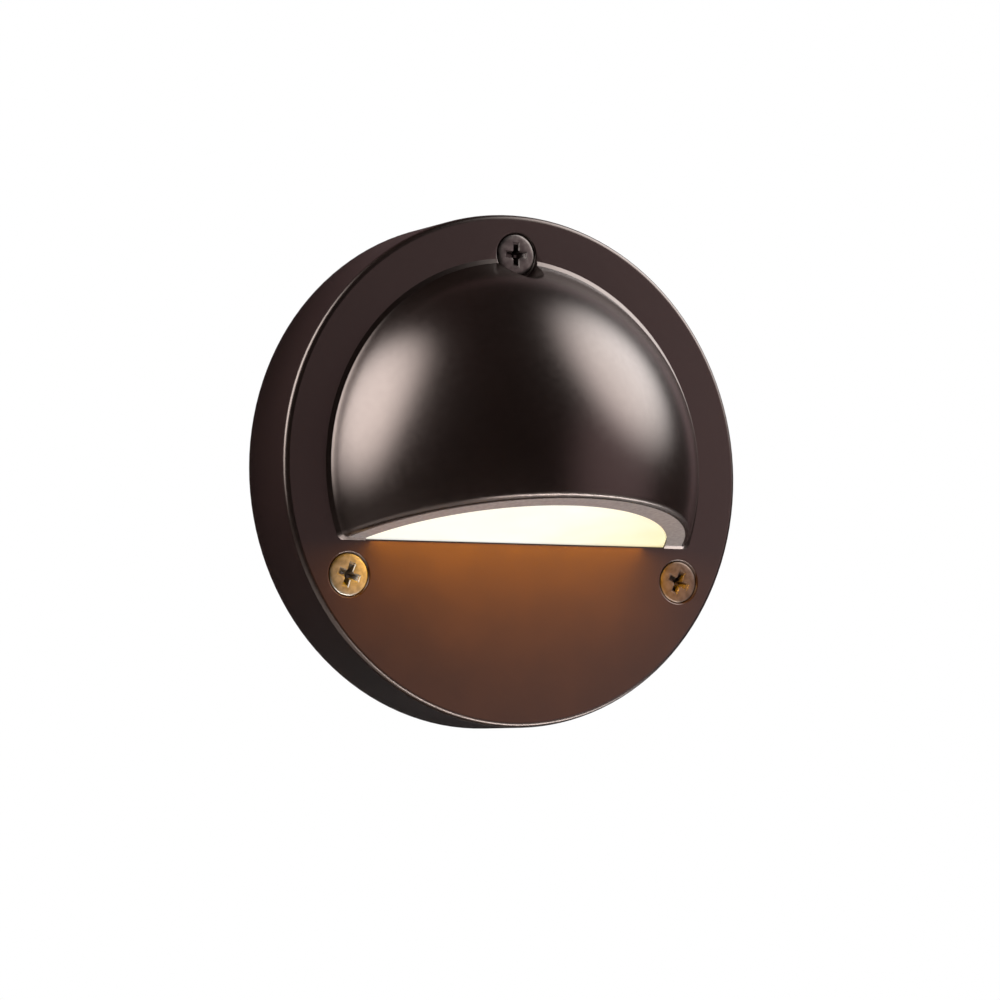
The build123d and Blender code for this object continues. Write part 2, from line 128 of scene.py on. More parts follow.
def ramp(nodes, links, value, dark, light, low=0.35, high=0.65):
    """A colour between dark and light, as the value goes from low to high."""
    colors = nodes.new("ShaderNodeValToRGB")
    colors.color_ramp.elements[0].position = low
    colors.color_ramp.elements[0].color = (*dark, 1)
    colors.color_ramp.elements[1].position = high
    colors.color_ramp.elements[1].color = (*light, 1)
    links.new(value, colors.inputs["Fac"])
    return colors.outputs["Color"]


def spread(nodes, links, value, low, high, start=0.3, end=0.7):
    """A number between low and high, as the value goes from start to end."""
    span = nodes.new("ShaderNodeMapRange")
    span.inputs["From Min"].default_value = start
    span.inputs["From Max"].default_value = end
    span.inputs["To Min"].default_value = low
    span.inputs["To Max"].default_value = high
    links.new(value, span.inputs["Value"])
    return span.outputs["Result"]


# %% Ripple, blend and mottle a finish
def bump(nodes, links, shader, height, depth):
    """Let a height, from 0 to 1 times depth in metres, ripple the surface."""
    ripple = nodes.new("ShaderNodeBump")
    ripple.inputs["Distance"].default_value = depth
    links.new(height, ripple.inputs["Height"])
    links.new(ripple.outputs["Normal"], shader.inputs["Normal"])


def blend_colors(nodes, links, share, first, second):
    """The first colour where the share is 0, the second where it is 1."""
    mix = nodes.new("ShaderNodeMix")
    mix.data_type = "RGBA"
    links.new(share, mix.inputs["Factor"])
    # A Mix node has sockets named A, B and Result for each type of data, so colours go by number
    links.new(first, mix.inputs[6])
    links.new(second, mix.inputs[7])
    return mix.outputs[2]


def mottled(name, dark, light, blotch, gloss, grain, depth, metallic=0.0, stretch=(1, 1, 1)):
    """A finish with uneven colour, uneven gloss and a fine grain."""
    material, nodes, links, shader = start_material(name)
    where = place_on_piece(nodes, links, stretch=stretch)
    cloud = noise(nodes, links, where, blotch)
    fine = noise(nodes, links, where, grain, detail=2.0)
    links.new(ramp(nodes, links, cloud, dark, light), shader.inputs["Base Color"])
    links.new(spread(nodes, links, fine, *gloss), shader.inputs["Roughness"])
    bump(nodes, links, shader, fine, depth)
    shader.inputs["Metallic"].default_value = metallic
    return material


def dress(material, *node_names):
    """Give CAD nodes this finish and say so."""
    for node_name in node_names:
        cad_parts[node_name].material_slots[0].material = material
    print(material.name, "on", ", ".join(node_names))


# %% [markdown]
# ## The studio
#
# Dark gloss paint is mostly what it reflects, so the studio matters as much as the paint. The room is
# white, as the photo's background is, but a black cloth tent stands round the light and keeps the white
# off the paint. In the tent hang a soft box at the left and one at the right, which draw the two soft
# patches on the hood. A weak one in front lifts the flat plate a little, and a low strip draws the thin
# bright lines on the rounded edges. The strip hangs steeply below the light, so the flat plate mirrors it
# only to someone high above. The cloth of a soft box is brightest in its middle, and that is what makes
# the patches fade so softly.

# %% Paint the room white
scene = bpy.context.scene
scene.view_settings.view_transform = "Standard"
world = bpy.data.worlds.new("white_room")
world.use_nodes = True
world.node_tree.nodes["Background"].inputs["Color"].default_value = (1.0, 1.0, 1.0, 1.0)
scene.world = world
print("room set")


# %% Make soft boxes
def direction(azimuth, elevation):
    """Direction from the light, by degrees to the right of straight ahead and degrees up."""
    turned = math.radians(azimuth)
    lift = math.radians(elevation)
    return Vector((math.sin(turned) * math.cos(lift), -math.cos(turned) * math.cos(lift), math.sin(lift)))


def lamp_power(radiance, area):
    """The power an area lamp needs for a radiance, because Cycles divides it by four times the area."""
    return 4 * radiance * area


def soften(lamp_data, full_until=0.12, dark_from=0.5):
    """Let a lamp fade from its middle to its edge, as the cloth of a soft box does."""
    lamp_data.use_nodes = True
    nodes = lamp_data.node_tree.nodes
    links = lamp_data.node_tree.links
    face = nodes.new("ShaderNodeNewGeometry")
    from_middle = nodes.new("ShaderNodeVectorMath")
    from_middle.operation = "DISTANCE"
    from_middle.inputs[1].default_value = (0.5, 0.5, 0)
    fade = nodes.new("ShaderNodeMapRange")
    fade.interpolation_type = "SMOOTHSTEP"
    fade.inputs["From Min"].default_value = full_until
    fade.inputs["From Max"].default_value = dark_from
    fade.inputs["To Min"].default_value = 1.0
    fade.inputs["To Max"].default_value = 0.0
    links.new(face.outputs["Parametric"], from_middle.inputs[0])
    links.new(from_middle.outputs["Value"], fade.inputs["Value"])
    links.new(fade.outputs["Result"], nodes["Emission"].inputs["Strength"])


def soft_box(name, azimuth, elevation, distance, width, height, radiance, color=(1, 1, 1)):
    """An oval lamp that faces the light, fades to its edge and stays out of the picture."""
    towards = direction(azimuth, elevation)
    bpy.ops.object.light_add(type="AREA", location=towards * distance)
    lamp = bpy.context.object
    lamp.name = name
    lamp.rotation_mode = "QUATERNION"
    lamp.rotation_quaternion = towards.to_track_quat("Z", "Y")
    lamp.data.shape = "ELLIPSE"
    lamp.data.size = width
    lamp.data.size_y = height
    lamp.data.energy = lamp_power(radiance, math.pi / 4 * width * height)
    lamp.data.color = color
    lamp.visible_camera = False
    soften(lamp.data)
    print(name, "power", round(lamp.data.energy, 2), "W")


# %% Hang the soft boxes
soft_box("left_soft_box", azimuth=-91, elevation=29, distance=0.6, width=0.62, height=1.08, radiance=7.1)
soft_box("right_soft_box", azimuth=72, elevation=36, distance=0.6, width=0.82, height=0.80, radiance=5.1)
soft_box(
    "fill_soft_box",
    azimuth=46,
    elevation=0,
    distance=0.8,
    width=1.10,
    height=1.40,
    radiance=0.52,
    color=(1.0, 0.76, 0.82),
)
soft_box("low_strip", azimuth=36, elevation=-52, distance=0.45, width=1.2, height=0.07, radiance=20)

# %% [markdown]
# A pale floor lies well below the light. It is out of the photo's view, and it shows from above. A dark
# card with a round hole stands round the light's back edge, as the deck would. The camera doesn't see it,
# but the rim reflects it, so the rim stays as dark as it is on a deck. The card is coloured near black at
# its bottom and lighter and a little red at its top: painted shade and painted light, for how light would
# fall on a deck. A black card hangs below and behind the light, and a flag stands behind the right soft
# box, so that steep and glancing reflections stay dark too.


# %% Lay the floor
def deselect():
    """Leave edit mode and deselect everything, so the next operator acts on the new piece alone."""
    if bpy.context.mode != "OBJECT":
        bpy.ops.object.mode_set(mode="OBJECT")
    bpy.ops.object.select_all(action="DESELECT")


def plain_material(name, color, roughness):
    """A plain finish for what isn't part of the light."""
    material = bpy.data.materials.new(name)
    material.use_nodes = True
    shader = material.node_tree.nodes["Principled BSDF"]
    shader.inputs["Base Color"].default_value = color
    shader.inputs["Roughness"].default_value = roughness
    return material


floor_drop = 0.40
floor_width = 3.0
floor_near = -0.8

deselect()
bpy.ops.mesh.primitive_plane_add(size=floor_width, location=(0, floor_near + floor_width / 2, -floor_drop))
floor = bpy.context.object
floor.name = "floor"
floor.data.materials.append(plain_material("pale_floor", (0.8, 0.8, 0.79, 1), 0.7))
print("floor", floor_drop, "m below the middle of the light")

# %% Stand the deck card round the light
card_hole = 0.04005
card_reach = 0.075
shade_bottom = -0.036
shade_top = 0.012
card_painted_shade_color = (0.006, 0.004, 0.004)
card_painted_light_color = (0.21, 0.122, 0.126)

deselect()
bpy.ops.mesh.primitive_circle_add(vertices=96, radius=card_hole, rotation=(math.pi / 2, 0, 0))
deck_card = bpy.context.object
deck_card.name = "deck_card"
bpy.ops.object.transform_apply(location=False, rotation=True, scale=False)
bpy.ops.object.mode_set(mode="EDIT")
bpy.ops.mesh.select_all(action="SELECT")
bpy.ops.mesh.extrude_edges_move()
bpy.ops.transform.resize(value=(card_reach / card_hole, 1, card_reach / card_hole))
deselect()
dark_card, nodes, links, shader = start_material("dark_card")
apart = nodes.new("ShaderNodeSeparateXYZ")
links.new(place_on_piece(nodes, links), apart.inputs["Vector"])
# Painted shade and light: the card's colour runs from near black at its bottom to a lighter red at its
# top.
shade = spread(nodes, links, apart.outputs["Z"], 0.0, 1.0, shade_bottom, shade_top)
card_color = ramp(nodes, links, shade, card_painted_shade_color, card_painted_light_color, 0.0, 1.0)
links.new(card_color, shader.inputs["Base Color"])
deck_card.data.materials.append(dark_card)
print("deck card with a hole", card_hole * 2, "m across")

# %% Pitch the tent and hang the black cards
tent_reach = 1.4
tent_open = 0.75
flag_direction = direction(132, 24)
flag_distance = 0.9
flag_width = 0.95
flag_height = 1.5
low_card_radius = 0.1
low_card_place = (0, 0.06, -0.12)

deselect()
bpy.ops.mesh.primitive_uv_sphere_add(segments=64, ring_count=32, radius=tent_reach)
tent = bpy.context.object
tent.name = "black_tent"
bpy.ops.object.mode_set(mode="EDIT")
bpy.ops.mesh.select_all(action="SELECT")
bpy.ops.mesh.bisect(plane_co=(0, tent_open * tent_reach, 0), plane_no=(0, 1, 0), clear_outer=True)

deselect()
bpy.ops.mesh.primitive_plane_add(size=1, location=flag_direction * flag_distance)
flag = bpy.context.object
flag.name = "right_flag"
flag.rotation_mode = "QUATERNION"
flag.rotation_quaternion = flag_direction.to_track_quat("Z", "Y")
flag.scale = (flag_width, flag_height, 1)

deselect()
bpy.ops.mesh.primitive_circle_add(
    vertices=48, radius=low_card_radius, fill_type="NGON", location=low_card_place
)
low_card = bpy.context.object
low_card.name = "low_card"
low_card.visible_shadow = False

black_cloth = plain_material("black_cloth", (0.03, 0.028, 0.027, 1), 0.9)
for cloth in (tent, flag, low_card):
    cloth.data.materials.append(black_cloth)
for hidden in (deck_card, tent, flag, low_card):
    hidden.visible_camera = False
print("tent", tent_reach * 2, "m across, with a flag and a card")

# %% [markdown]
# ## Bronze paint
#
# The casting is powder coated in a dark bronze: nearly black, a little red, and satin. Powder flows as it
# is baked, so the coat has a very fine orange peel. The flat lip face of the hood is given a much paler
# colour than the rest: this is painted light, for the bright light that face reflects, and not bare metal.
# A mask finds that face by its distance from the plane of the mouth, and leaves out what lies in that
# plane behind the plate.

# %% Mix the bronze paint
coat_dark = (0.0060, 0.0032, 0.0026)
coat_light = (0.0080, 0.0042, 0.0034)
cloud_size = 12 * mm
peel_size = 0.9 * mm
peel_depth = 0.003 * mm

paint, nodes, links, shader = start_material("bronze_powder_coat")
where = place_on_piece(nodes, links)
cloud = noise(nodes, links, where, cloud_size)
peel = noise(nodes, links, where, peel_size, detail=2.0)
coat = ramp(nodes, links, cloud, coat_dark, coat_light)
links.new(spread(nodes, links, peel, 0.23, 0.27), shader.inputs["Roughness"])
bump(nodes, links, shader, peel, peel_depth)
shader.inputs["Specular IOR Level"].default_value = 1.0
shader.inputs["Specular Tint"].default_value = (1.0, 0.81, 0.735, 1.0)
print("paint mixed")

# %% Find the lip
plate_front = -12.7 * mm
mouth_slope = math.radians(14.9)
mouth_drop = 11.3 * mm
lip_normal = Vector((0, -math.sin(mouth_slope), -math.cos(mouth_slope)))
lip_distance = lip_normal.dot(Vector((0, plate_front, -mouth_drop)))
lip_inside = 0.004 * mm
lip_outside = 0.012 * mm
hood_foot = plate_front - 0.2 * mm
hood_wall = plate_front - 0.3 * mm

along_lip = nodes.new("ShaderNodeVectorMath")
along_lip.operation = "DOT_PRODUCT"
along_lip.inputs[1].default_value = lip_normal
links.new(where, along_lip.inputs[0])
from_mouth = nodes.new("ShaderNodeMath")
from_mouth.operation = "SUBTRACT"
from_mouth.inputs[1].default_value = lip_distance
links.new(along_lip.outputs["Value"], from_mouth.inputs[0])
off_mouth = nodes.new("ShaderNodeMath")
off_mouth.operation = "ABSOLUTE"
links.new(from_mouth.outputs["Value"], off_mouth.inputs[0])
on_mouth = spread(nodes, links, off_mouth.outputs["Value"], 1.0, 0.0, lip_inside, lip_outside)
apart = nodes.new("ShaderNodeSeparateXYZ")
links.new(where, apart.inputs["Vector"])
on_hood = spread(nodes, links, apart.outputs["Y"], 1.0, 0.0, hood_wall, hood_foot)
print("the mouth is", round(mouth_drop / mm, 1), "mm below the middle of the plate")

# %% Paint light on the lip
# The pale, mottled colour below is painted light on the flat lip face.
lip_light_dark = (0.225, 0.2, 0.19)
lip_light_bright = (0.28, 0.25, 0.24)
lip_light_mottle_size = 0.6 * mm

lip_light_share = nodes.new("ShaderNodeMath")
lip_light_share.operation = "MULTIPLY"
links.new(on_mouth, lip_light_share.inputs[0])
links.new(on_hood, lip_light_share.inputs[1])
lip_light_mottle = noise(nodes, links, where, lip_light_mottle_size)
lip_light_tone = ramp(nodes, links, lip_light_mottle, lip_light_dark, lip_light_bright)
links.new(blend_colors(nodes, links, lip_light_share.outputs["Value"], coat, lip_light_tone), shader.inputs["Base Color"])
print("lip ground bare to", lip_outside / mm, "mm from the plane of the mouth")

# %% [markdown]
# ## Opal lens
#
# The lens is milky plastic with the LEDs close behind it. It is whitest a little left of its middle and
# turns yellow towards its ends, where the light has come further through the plastic. A lit plastic could
# be left to the lamp behind it, but then the render needs many samples, so the face simply glows, and a
# hidden lamp throws the warm light that falls on the plate below. It hangs a little left of the middle as
# well, because the glow on the plate is a little stronger there.

# %% Light the lens
whitest = -10 * mm
white_until = 12 * mm
yellow_from = 38 * mm
haze_size = 6 * mm

opal, nodes, links, shader = start_material("lit_opal")
where = place_on_piece(nodes, links, center=(whitest, 0, 0))
haze = noise(nodes, links, where, haze_size)
apart = nodes.new("ShaderNodeSeparateXYZ")
links.new(where, apart.inputs["Vector"])
from_whitest = nodes.new("ShaderNodeMath")
from_whitest.operation = "ABSOLUTE"
links.new(apart.outputs["X"], from_whitest.inputs[0])
to_end = spread(nodes, links, from_whitest.outputs["Value"], 0.0, 1.0, white_until, yellow_from)
white_glow = ramp(nodes, links, haze, (0.97, 0.97, 0.88), (1.0, 1.0, 0.95))
yellow_glow = ramp(nodes, links, haze, (0.95, 0.80, 0.36), (1.0, 0.88, 0.44))
links.new(blend_colors(nodes, links, to_end, white_glow, yellow_glow), shader.inputs["Emission Color"])
shader.inputs["Emission Strength"].default_value = 0.77
shader.inputs["Base Color"].default_value = (0.28, 0.265, 0.22, 1)
links.new(spread(nodes, links, haze, 0.3, 0.4), shader.inputs["Roughness"])
dress(opal, "lens")

# %% Shine the LEDs' light on the plate
glow_depth = 16 * mm
glow_width = 48 * mm
glow_shift = -1.5 * mm
glow_clear = 0.3 * mm
glow_radiance = 97
mouth_foot = Vector((glow_shift, plate_front, -mouth_drop))
mouth_forward = Vector((0, -math.cos(mouth_slope), math.sin(mouth_slope)))

bpy.ops.object.light_add(type="AREA")
glow = bpy.context.object
glow.name = "led_glow"
glow.location = mouth_foot + mouth_forward * glow_depth / 2 + lip_normal * glow_clear
glow.rotation_mode = "QUATERNION"
glow.rotation_quaternion = (-lip_normal).to_track_quat("Z", "Y")
glow.data.shape = "RECTANGLE"
glow.data.size = glow_width
glow.data.size_y = glow_depth
glow.data.color = (1.0, 0.5, 0.0)
glow.data.energy = lamp_power(glow_radiance, glow_width * glow_depth)
glow.visible_camera = False
glow.visible_glossy = False
print("glow", round(glow.data.energy, 3), "W")

# %% [markdown]
# ## Tools for modelling
#
# Screws, grommets and rings are turned pieces. One way to make them is to draw half a profile and spin
# it. Here a disc is drawn out along the axis instead, ring by ring, as a turner works along a bar: each
# step extrudes the face and scales it to the next radius. A ring works the same way with an open circle
# that comes back to where it began.


# %% Turn solid pieces and rings
def activate(piece):
    """Make this the only selected piece, and the active one."""
    deselect()
    piece.select_set(True)
    bpy.context.view_layer.objects.active = piece


def start_circle(name, radius, y, fill, corners):
    """Add a circle round the Y axis and stay in edit mode with it selected."""
    deselect()
    bpy.ops.mesh.primitive_circle_add(
        vertices=corners, radius=radius, fill_type=fill, location=(0, y, 0), rotation=(math.pi / 2, 0, 0)
    )
    piece = bpy.context.object
    piece.name = name
    bpy.ops.object.transform_apply(location=True, rotation=True, scale=False)
    bpy.ops.object.mode_set(mode="EDIT")
    bpy.ops.mesh.select_all(action="SELECT")
    return piece


def close_up():
    """Merge doubled points, turn all faces outwards and leave edit mode."""
    bpy.ops.mesh.select_all(action="SELECT")
    bpy.ops.mesh.remove_doubles(threshold=0.0005 * mm)
    bpy.ops.mesh.normals_make_consistent(inside=False)
    deselect()


def turn_solid(name, profile, corners=48):
    """A solid piece, drawn out of a disc through (radius, y) points along its axis."""
    radius, y = profile[0]
    piece = start_circle(name, radius, y, "NGON", corners)
    for next_radius, next_y in profile[1:]:
        bpy.ops.mesh.extrude_region_move(TRANSFORM_OT_translate={"value": (0, next_y - y, 0)})
        bpy.ops.transform.resize(value=(next_radius / radius, 1, next_radius / radius))
        radius, y = next_radius, next_y
    close_up()
    return piece


def turn_ring(name, profile, corners=72):
    """A ring, drawn by a circle that goes through the (radius, y) points and back to the first one."""
    radius, y = profile[0]
    piece = start_circle(name, radius, y, "NOTHING", corners)
    for next_radius, next_y in profile[1:] + profile[:1]:
        bpy.ops.mesh.extrude_edges_move(TRANSFORM_OT_translate={"value": (0, next_y - y, 0)})
        bpy.ops.transform.resize(value=(next_radius / radius, 1, next_radius / radius))
        radius, y = next_radius, next_y
    close_up()
    return piece


# %% Cut, round and smooth pieces
def combine(piece, tool, operation):
    """Cut a tool out of a piece, or join it on, with an exact Boolean, and throw the tool away."""
    activate(piece)
    step = piece.modifiers.new("combine", "BOOLEAN")
    step.operation = operation
    step.solver = "EXACT"
    step.object = tool
    bpy.ops.object.modifier_apply(modifier=step.name)
    bpy.data.objects.remove(tool)


def round_edges(piece, width, segments=3):
    """Round the sharp edges of a piece."""
    activate(piece)
    bevel = piece.modifiers.new("round_edges", "BEVEL")
    bevel.width = width
    bevel.segments = segments
    bevel.limit_method = "ANGLE"
    bevel.angle_limit = math.radians(35)
    bpy.ops.object.modifier_apply(modifier=bevel.name)


def smooth(piece, angle=35):
    """Shade a piece smooth, with sharp lines where faces meet at more than the angle."""
    activate(piece)
    bpy.ops.object.shade_smooth_by_angle(angle=math.radians(angle))


# %% Copy pieces and fit them
def place_copy(master, name, x, z, turned=0.0):
    """A copy with a mesh of its own, turned clockwise as seen from the front and moved into place."""
    activate(master)
    bpy.ops.object.duplicate()
    copy = bpy.context.object
    copy.name = name
    copy.rotation_euler = (0, turned, 0)
    copy.location = (x, 0, z)
    bpy.ops.object.transform_apply(location=True, rotation=True, scale=False)
    return copy


def join_copies(master, name, places):
    """Copies of a piece at several places, joined into one piece."""
    copies = [place_copy(master, name, x, z) for x, z in places]
    deselect()
    for copy in copies:
        copy.select_set(True)
    bpy.context.view_layer.objects.active = copies[0]
    bpy.ops.object.join()
    bpy.data.objects.remove(master)
    copies[0].name = name
    return copies[0]


def fit(piece, body, material, node_name):
    """Let a new piece ride on its body and stand for its CAD node."""
    piece.data.materials.clear()
    piece.data.materials.append(material)
    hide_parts(node_name)
    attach(piece, body)
    print(piece.name, "stands for", node_name, "with", len(piece.data.polygons), "faces")


# %% Find where CAD has equal pieces
def middle(values):
    """Halfway between the least and the greatest value."""
    return (min(values) + max(values)) / 2


def spots(node_name, reach=6 * mm):
    """Where CAD put the equal pieces of a node: the middle of each cluster of points, as (x, z)."""
    clusters = []
    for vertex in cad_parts[node_name].data.vertices:
        here = (vertex.co.x, vertex.co.z)
        near = [cluster for cluster in clusters if math.dist(here, cluster[0]) < reach]
        if near:
            near[0].append(here)
        else:
            clusters.append([here])
    return [(middle([x for x, z in cluster]), middle([z for x, z in cluster])) for cluster in clusters]


# %% [markdown]
# ## The casting
#
# CAD hands over the casting as triangles, and on the small rounding round the plate many of them are long
# slivers that bend the bright line along that edge. So the mesh is copied and merged, the rounding is
# taken off, and it is drawn anew: the plate's edge is extruded in even steps of a quarter circle and
# bridged to the rim. Weighting the normals by face area then keeps the flat plate flat up to its edge.

# %% Merge a copy of the casting
casting = bpy.data.objects.new("cast_housing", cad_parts["housing"].data.copy())
bpy.context.collection.objects.link(casting)
activate(casting)
bpy.ops.mesh.customdata_custom_splitnormals_clear()
bpy.ops.object.mode_set(mode="EDIT")
close_up()
print("casting merged to", len(casting.data.vertices), "points")


# %% Pick faces and open edges
def pick_faces(piece, wanted):
    """Select, in edit mode, only the faces that the test picks."""
    bpy.ops.object.mode_set(mode="EDIT")
    bpy.ops.mesh.select_mode(type="FACE")
    bpy.ops.mesh.select_all(action="DESELECT")
    bpy.ops.object.mode_set(mode="OBJECT")
    for face in piece.data.polygons:
        face.select = wanted(face)
    bpy.ops.object.mode_set(mode="EDIT")


def pick_open_edges():
    """Select, in edit mode, the edges that have a face on one side only."""
    bpy.ops.mesh.select_mode(type="EDGE")
    bpy.ops.mesh.select_all(action="DESELECT")
    bpy.ops.mesh.select_non_manifold(
        use_wire=False, use_multi_face=False, use_non_contiguous=False, use_verts=False
    )


# %% Take the front rounding off
edge_radius = 0.9 * mm
tolerance = 0.002 * mm
edge_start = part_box("housing")[1].x - edge_radius
edge_end = plate_front + edge_radius


def on_rounding(face):
    """Whether a face belongs to the rounding between the plate and the rim."""
    ring = [casting.data.vertices[i].co for i in face.vertices]
    outside = all(math.hypot(point.x, point.z) > edge_start - tolerance for point in ring)
    in_front = all(point.y < edge_end + tolerance for point in ring)
    return outside and in_front and face.center.y > plate_front + tolerance / 4


activate(casting)
pick_faces(casting, on_rounding)
bpy.ops.mesh.delete(type="FACE")
pick_open_edges()
bpy.ops.object.mode_set(mode="OBJECT")
points = casting.data.vertices
for edge in casting.data.edges:
    edge.select = edge.select and all(points[i].co.y < plate_front + tolerance for i in edge.vertices)
plate_edge = [tuple(edge.vertices) for edge in casting.data.edges if edge.select]
for point in points:
    point.select = False
for ends in plate_edge:
    for i in ends:
        points[i].select = True
print("rounding off; the plate has", len(plate_edge), "open edges")

# %% Draw the front rounding anew
edge_steps = 12
radius = edge_start
y = plate_front

bpy.ops.object.mode_set(mode="EDIT")
for step in range(1, edge_steps):
    angle = math.pi / 2 * step / edge_steps
    next_radius = edge_start + edge_radius * math.sin(angle)
    next_y = edge_end - edge_radius * math.cos(angle)
    bpy.ops.mesh.extrude_edges_move(TRANSFORM_OT_translate={"value": (0, next_y - y, 0)})
    growth = next_radius / radius
    bpy.ops.transform.resize(value=(growth, 1, growth), center_override=(0, next_y, 0))
    radius, y = next_radius, next_y
pick_open_edges()
bpy.ops.mesh.bridge_edge_loops()
close_up()
smooth(casting, 20)
even_normals = casting.modifiers.new("even_normals", "WEIGHTED_NORMAL")
even_normals.keep_sharp = True
bpy.ops.object.modifier_apply(modifier=even_normals.name)
fit(casting, "light", paint, "housing")

# %% [markdown]
# ## Mounting screws
#
# Three No. 6 wood screws hold the light to the deck. Each has a flat head with a rounded rim, a pressed
# cross recess, a plain shank as far as the deck face and a coarse thread behind it. The thread could be
# painted on as a bump, but the screws travel out of the light, so it is modelled: a small wedge is wound
# up the shank by the Screw modifier and joined on. The recess is cut with two tapered wings and a cone,
# as the punch has them, after a shallow, wider cut that leaves its edges chamfered.


# %% Press a recess
def press_cross(piece, top, inward, span, width, depth, narrow_span, narrow_width):
    """Press a cross into a head at y = top, with wings that narrow to the second span and width."""
    spare = 0.1 * depth
    for quarter in (0, math.pi / 2):
        deselect()
        bpy.ops.mesh.primitive_cube_add(
            size=1,
            location=(0, top + inward * (depth - spare) / 2, 0),
            rotation=(0, quarter, 0),
            scale=(span, depth + spare, width),
        )
        wing = bpy.context.object
        bpy.ops.object.transform_apply(location=True, rotation=True, scale=True)
        pick_faces(wing, lambda face: face.normal.y * inward > 0.9)
        narrow = (narrow_span / span, 1, narrow_width / width)
        if quarter:
            narrow = narrow[::-1]
        bpy.ops.transform.resize(value=narrow)
        deselect()
        combine(piece, wing, "DIFFERENCE")
    point_depth = 1.2 * depth
    deselect()
    bpy.ops.mesh.primitive_cone_add(
        vertices=24,
        radius1=0.3 * width,
        radius2=0.95 * width,
        depth=point_depth + spare,
        location=(0, top + inward * (point_depth - spare) / 2, 0),
        rotation=(inward * math.pi / 2, 0, 0),
    )
    point = bpy.context.object
    bpy.ops.object.transform_apply(location=True, rotation=True, scale=True)
    combine(piece, point, "DIFFERENCE")


# %% Wind a thread
def wind_thread(piece, core, crest, start, end, pitch, share_at, steps_in_turn=28):
    """Wind a ridge round a shank from y = start to end, thinned by a share at each y, and join it on."""
    way = math.copysign(1, end - start)
    root = 0.85 * core
    wedge = [(root, -0.3), (crest, -0.06), (crest, 0.06), (root, 0.3)]
    deselect()
    bpy.ops.mesh.primitive_circle_add(vertices=len(wedge), radius=crest)
    ridge = bpy.context.object
    for vertex, (radius, offset) in zip(ridge.data.vertices, wedge):
        vertex.co = (radius, start + offset * pitch, 0)
    wind = ridge.modifiers.new("wind", "SCREW")
    wind.axis = "Y"
    wind.angle = way * 2 * math.pi
    wind.screw_offset = way * pitch
    wind.iterations = int(abs(end - start) / pitch)
    wind.steps = steps_in_turn
    wind.render_steps = steps_in_turn
    bpy.ops.object.modifier_apply(modifier=wind.name)
    for vertex in ridge.data.vertices:
        share = share_at(vertex.co.y)
        vertex.co.x *= share
        vertex.co.z *= share
    bpy.ops.object.mode_set(mode="EDIT")
    bpy.ops.mesh.select_all(action="SELECT")
    bpy.ops.mesh.fill_holes(sides=len(wedge))
    close_up()
    combine(piece, ridge, "UNION")


# %% Turn the wood screw
head_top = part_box("top_screw")[0].y
screw_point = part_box("top_screw")[1].y
shank_radius = 1.45 * mm
core_radius = 1.2 * mm
tip_radius = 0.04 * mm
cone_end = head_top + 2.22 * mm
shank_end = -0.2 * mm
thread_start = 0.4 * mm
taper_start = screw_point - 4.5 * mm

wood_screw = turn_solid("wood_screw", [
    (2.35 * mm, head_top),
    (2.75 * mm, head_top + 0.02 * mm),
    (3.0 * mm, head_top + 0.06 * mm),
    (3.16 * mm, head_top + 0.12 * mm),
    (3.22 * mm, head_top + 0.18 * mm),
    (3.16 * mm, head_top + 0.26 * mm),
    (shank_radius, cone_end),
    (shank_radius, shank_end),
    (core_radius, thread_start),
    (core_radius, taper_start),
    (tip_radius, screw_point),
])
print("wood screw", round((screw_point - head_top) / mm, 1), "mm long")

# %% Thread the wood screw and press its recess
crest_radius = 1.72 * mm
thread_pitch = 1.4 * mm
thread_end = screw_point - 0.7 * mm
recess_span = 3.7 * mm
recess_width = 0.95 * mm
recess_depth = 1.5 * mm
punch_span = 1.7 * mm
punch_width = 0.45 * mm
chamfer_span = 3.95 * mm
chamfer_width = 1.2 * mm
chamfer_depth = 0.13 * mm


def wood_thread_share(y):
    """The thread grows out of the shank over its first half turn and shrinks with the point."""
    growth = 0.62 + 0.38 * min(1, max(0, (y - thread_start) / (thread_pitch / 2)))
    point = min(1, max(0.05, (screw_point - y) / (screw_point - taper_start)))
    return growth * point


wind_thread(
    wood_screw, core_radius, crest_radius, thread_start, thread_end, thread_pitch, wood_thread_share
)
press_cross(wood_screw, head_top, 1, chamfer_span, chamfer_width, chamfer_depth, recess_span, recess_width)
press_cross(wood_screw, head_top, 1, recess_span, recess_width, recess_depth, punch_span, punch_width)
smooth(wood_screw, 40)
print("wood screw with", len(wood_screw.data.polygons), "faces")

# %% [markdown]
# The screws are steel with a bronze tone to match the paint. A lathe leaves fine rings on a head, so each
# screw has a finish of its own, with the rings centred on its axis. The three are the same steel, but
# their
# colours differ as painted light: the left screw lighter and warmer, as the lens lights it, the right one
# darker, and the top one grey.


# %% Finish and place the screws
def turned_steel(name, x, z, dark, light, ring_pitch=0.22 * mm):
    """Bronze-toned steel with fine turning rings round the axis at (x, z)."""
    material, nodes, links, shader = start_material(name)
    where = place_on_piece(nodes, links, center=(x, 0, z))
    rings = nodes.new("ShaderNodeTexWave")
    rings.wave_type = "RINGS"
    rings.rings_direction = "Y"
    # At a scale of 1 the wave texture's rings are 2 pi / 20 apart
    rings.inputs["Scale"].default_value = 2 * math.pi / (20 * ring_pitch)
    rings.inputs["Distortion"].default_value = 1.5
    links.new(where, rings.inputs["Vector"])
    wear = noise(nodes, links, where, 0.8 * mm)
    links.new(ramp(nodes, links, wear, dark, light), shader.inputs["Base Color"])
    links.new(spread(nodes, links, wear, 0.28, 0.4), shader.inputs["Roughness"])
    bump(nodes, links, shader, rings.outputs["Fac"], 0.0025 * mm)
    shader.inputs["Metallic"].default_value = 0.85
    return material


